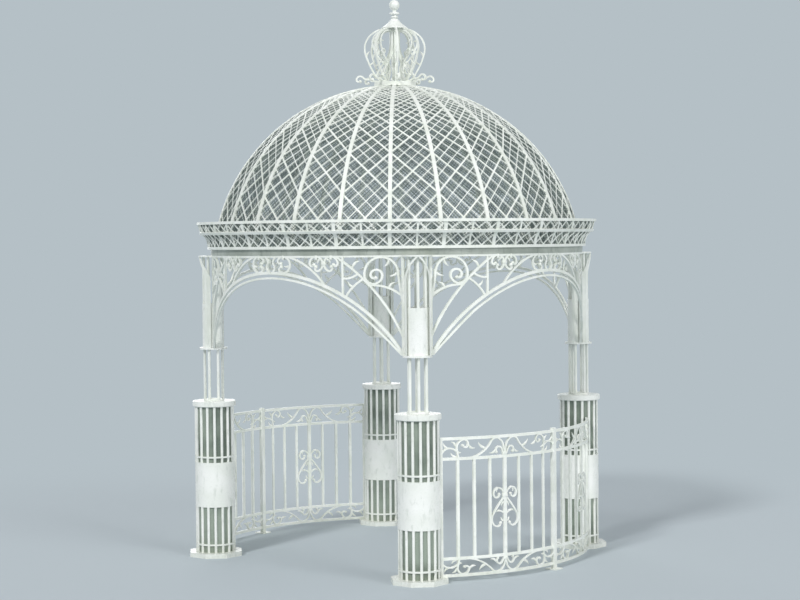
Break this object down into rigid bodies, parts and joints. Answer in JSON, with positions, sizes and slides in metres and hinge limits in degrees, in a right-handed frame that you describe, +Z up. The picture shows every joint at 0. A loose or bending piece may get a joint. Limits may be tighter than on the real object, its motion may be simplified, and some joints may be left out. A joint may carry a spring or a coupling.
{
  "type": "garden gazebo",
  "caption": "Round garden gazebo of white painted wrought iron with drum pedestals, scrolled arches, curved side railings, flared cornice and a ribbed lattice dome with scrolled crown.",
  "frame": {"origin": "centre of the round plan, on the ground", "axes": "+Z up; the open doorways face -Y (front) and +Y (back), the railed bays face -X and +X"},
  "size_m": [3.062, 3.0616, 4.24],
  "materials": {
    "white_paint": "white gloss paint over wrought iron",
    "drum_paint": "off-white paint over sheet steel drum and rods"
  },
  "bodies": {
    "root": {"arch_back": "white_paint", "arch_front": "white_paint", "arch_left": "white_paint", "arch_right": "white_paint", "base_plates": "white_paint", "cornice_bars": "white_paint", "crown_cage": "white_paint", "crown_cap": "white_paint", "crown_ring": "white_paint", "dome_lattice_back_left": "white_paint", "dome_lattice_back_right": "white_paint", "dome_lattice_front_left": "white_paint", "dome_lattice_front_right": "white_paint", "dome_ribs_back_left": "white_paint", "dome_ribs_back_right": "white_paint", "dome_ribs_front_left": "white_paint", "dome_ribs_front_right": "white_paint", "finial_ball": "white_paint", "header_hoop": "white_paint", "lower_hoop": "white_paint", "middle_hoop": "white_paint", "pedestal_back_left": "drum_paint", "pedestal_back_right": "drum_paint", "pedestal_cap_back_left": "white_paint", "pedestal_cap_back_right": "white_paint", "pedestal_cap_front_left": "white_paint", "pedestal_cap_front_right": "white_paint", "pedestal_front_left": "drum_paint", "pedestal_front_right": "drum_paint", "railing_left_a": "white_paint", "railing_left_b": "white_paint", "railing_posts": "white_paint", "railing_right_a": "white_paint", "railing_right_b": "white_paint", "shaft_back_left": "white_paint", "shaft_back_right": "white_paint", "shaft_front_left": "white_paint", "shaft_front_right": "white_paint", "shaft_sleeve_back_left": "white_paint", "shaft_sleeve_back_right": "white_paint", "shaft_sleeve_front_left": "white_paint", "shaft_sleeve_front_right": "white_paint", "top_hoop": "white_paint"}
  },
  "joints": []
}
